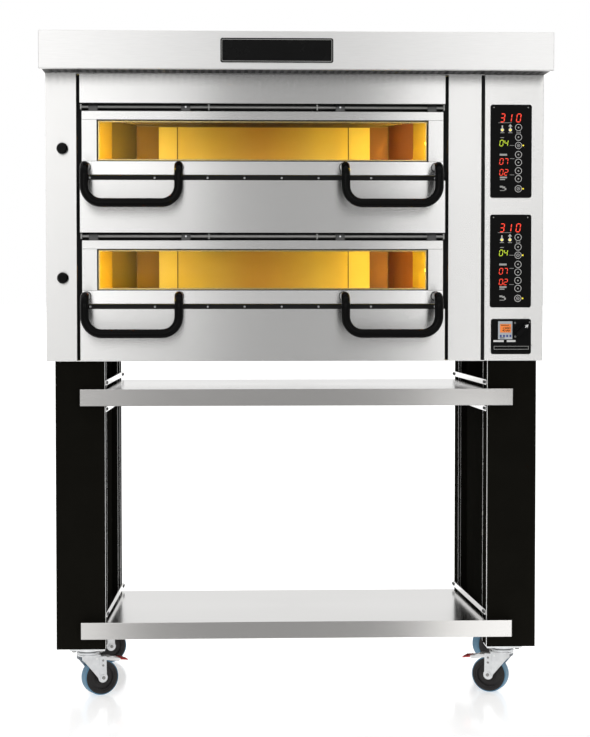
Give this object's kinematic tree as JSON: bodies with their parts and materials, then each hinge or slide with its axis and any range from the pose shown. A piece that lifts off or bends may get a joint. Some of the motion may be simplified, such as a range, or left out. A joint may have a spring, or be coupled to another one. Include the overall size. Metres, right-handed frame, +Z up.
{
  "type": "deck pizza oven",
  "caption": "Electric deck pizza oven: stacked baking chambers with top-hinged glass doors, tube handles, a hood, a control tower and a castor stand with shelves.",
  "frame": {"origin": "on the floor under the middle of the hood", "axes": "+Z up, +X to the right when facing the doors, front towards -Y"},
  "size_m": [1.492, 0.838, 2.003],
  "materials": {
    "stainless": "brushed stainless sheet",
    "badge": "gloss black plate",
    "black_seal": "matt black seal",
    "zinc": "zinc plated",
    "oven_liner": "heat tinted steel",
    "hearth_stone": "rough pressed clay",
    "heater": "dark oxidised sheath",
    "lamp_glass": "warm lamp glass",
    "wool": "mineral wool",
    "panel_black": "black membrane foil",
    "timer_case": "satin moulded case",
    "electric_case": "satin moulded case",
    "stand_black": "black powder coat, semi gloss",
    "door_glass": "clear tempered glass",
    "handle_black": "satin black coated tube",
    "wheel_core": "dark grey moulded core",
    "blue_tyre": "blue elastic tyre",
    "pedal": "zinc plated with a red tip"
  },
  "bodies": {
    "oven": {"hood_crown": "stainless", "hood_pan": "stainless", "flue_collar": "zinc", "name_plate": "badge", "left_side_cover": "stainless", "right_side_cover": "stainless", "back_cover": "stainless", "top_cover": "stainless", "base_pan": "stainless", "front_pillars": "stainless", "control_tower": "stainless", "door_lintel": "stainless", "upper_apron": "stainless", "lower_apron": "stainless", "seal_strips": "black_seal", "screws": "zinc", "hinge_rods": "zinc", "upper_chamber": "oven_liner", "lower_chamber": "oven_liner", "hearth_stones": "hearth_stone", "heating_elements": "heater", "oven_lamps": "lamp_glass", "insulation": "wool", "exhaust_duct": "zinc", "control_panels": "panel_black", "switch_panel": "panel_black", "timer_module": "timer_case", "contactor_rail": "electric_case", "cable_gland": "electric_case", "stand_legs": "stand_black", "stand_side_panels": "stand_black", "stand_rails": "stainless", "upper_shelf": "stainless", "lower_shelf": "stainless", "caster_plates": "zinc"},
    "upper_door": {"upper_door_frame": "stainless", "upper_door_glass": "door_glass", "upper_door_handles": "handle_black"},
    "lower_door": {"lower_door_frame": "stainless", "lower_door_glass": "door_glass", "lower_door_handles": "handle_black"},
    "upper_damper": {"upper_damper_knob": "handle_black", "upper_damper_slide": "zinc"},
    "lower_damper": {"lower_damper_knob": "handle_black", "lower_damper_slide": "zinc"},
    "main_switch": {"main_switch_knob": "panel_black"},
    "front_left_swivel": {"front_left_fork": "zinc"},
    "front_left_roller": {"front_left_wheel": "wheel_core", "front_left_tyre": "blue_tyre"},
    "front_right_swivel": {"front_right_fork": "zinc"},
    "front_right_roller": {"front_right_wheel": "wheel_core", "front_right_tyre": "blue_tyre"},
    "rear_left_swivel": {"rear_left_fork": "zinc"},
    "rear_left_roller": {"rear_left_wheel": "wheel_core", "rear_left_tyre": "blue_tyre"},
    "rear_right_swivel": {"rear_right_fork": "zinc"},
    "rear_right_roller": {"rear_right_wheel": "wheel_core", "rear_right_tyre": "blue_tyre"},
    "front_left_brake": {"front_left_brake_pedal": "pedal"},
    "front_right_brake": {"front_right_brake_pedal": "pedal"}
  },
  "joints": [
    {"name": "upper_door_hinge", "type": "hinge", "parent": "oven", "child": "upper_door", "pos_m": [-0.09625, -0.286, 1.759], "axis": [-1, 0, 0], "range_deg": [0, 90]},
    {"name": "lower_door_hinge", "type": "hinge", "parent": "oven", "child": "lower_door", "pos_m": [-0.09625, -0.286, 1.379], "axis": [-1, 0, 0], "range_deg": [0, 90]},
    {"name": "upper_damper_pull", "type": "slide", "parent": "oven", "child": "upper_damper", "axis": [0, -1, 0], "range_m": [0, 0.075]},
    {"name": "lower_damper_pull", "type": "slide", "parent": "oven", "child": "lower_damper", "axis": [0, -1, 0], "range_m": [0, 0.075]},
    {"name": "main_switch_turn", "type": "hinge", "parent": "oven", "child": "main_switch", "pos_m": [0.67, -0.294, 1.09925], "axis": [0, -1, 0], "range_deg": [0, 180]},
    {"name": "front_left_swivel_turn", "type": "hinge", "parent": "oven", "child": "front_left_swivel", "pos_m": [-0.622, -0.2095, 0.147], "axis": [0, 0, 1], "continuous": true},
    {"name": "front_left_wheel_spin", "type": "hinge", "parent": "front_left_swivel", "child": "front_left_roller", "pos_m": [-0.58785, -0.19284, 0.054], "axis": [-0.4384, 0.8988, 0], "continuous": true},
    {"name": "front_left_brake_press", "type": "hinge", "parent": "front_left_swivel", "child": "front_left_brake", "pos_m": [-0.60582, -0.20161, 0.113], "axis": [0.4384, -0.8988, 0], "range_deg": [0, 12]},
    {"name": "front_right_swivel_turn", "type": "hinge", "parent": "oven", "child": "front_right_swivel", "pos_m": [0.632, -0.2095, 0.147], "axis": [0, 0, 1], "continuous": true},
    {"name": "front_right_wheel_spin", "type": "hinge", "parent": "front_right_swivel", "child": "front_right_roller", "pos_m": [0.59756, -0.19344, 0.054], "axis": [-0.4226, -0.9063, 0], "continuous": true},
    {"name": "front_right_brake_press", "type": "hinge", "parent": "front_right_swivel", "child": "front_right_brake", "pos_m": [0.61569, -0.20189, 0.113], "axis": [0.4226, 0.9063, 0], "range_deg": [0, 12]},
    {"name": "rear_left_swivel_turn", "type": "hinge", "parent": "oven", "child": "rear_left_swivel", "pos_m": [-0.622, 0.3285, 0.147], "axis": [0, 0, 1], "continuous": true},
    {"name": "rear_left_wheel_spin", "type": "hinge", "parent": "rear_left_swivel", "child": "rear_left_roller", "pos_m": [-0.58629, 0.3415, 0.054], "axis": [-0.342, 0.9397, 0], "continuous": true},
    {"name": "rear_right_swivel_turn", "type": "hinge", "parent": "oven", "child": "rear_right_swivel", "pos_m": [0.632, 0.3285, 0.147], "axis": [0, 0, 1], "continuous": true},
    {"name": "rear_right_wheel_spin", "type": "hinge", "parent": "rear_right_swivel", "child": "rear_right_roller", "pos_m": [0.66555, 0.34634, 0.054], "axis": [-0.4695, 0.8829, 0], "continuous": true}
  ]
}
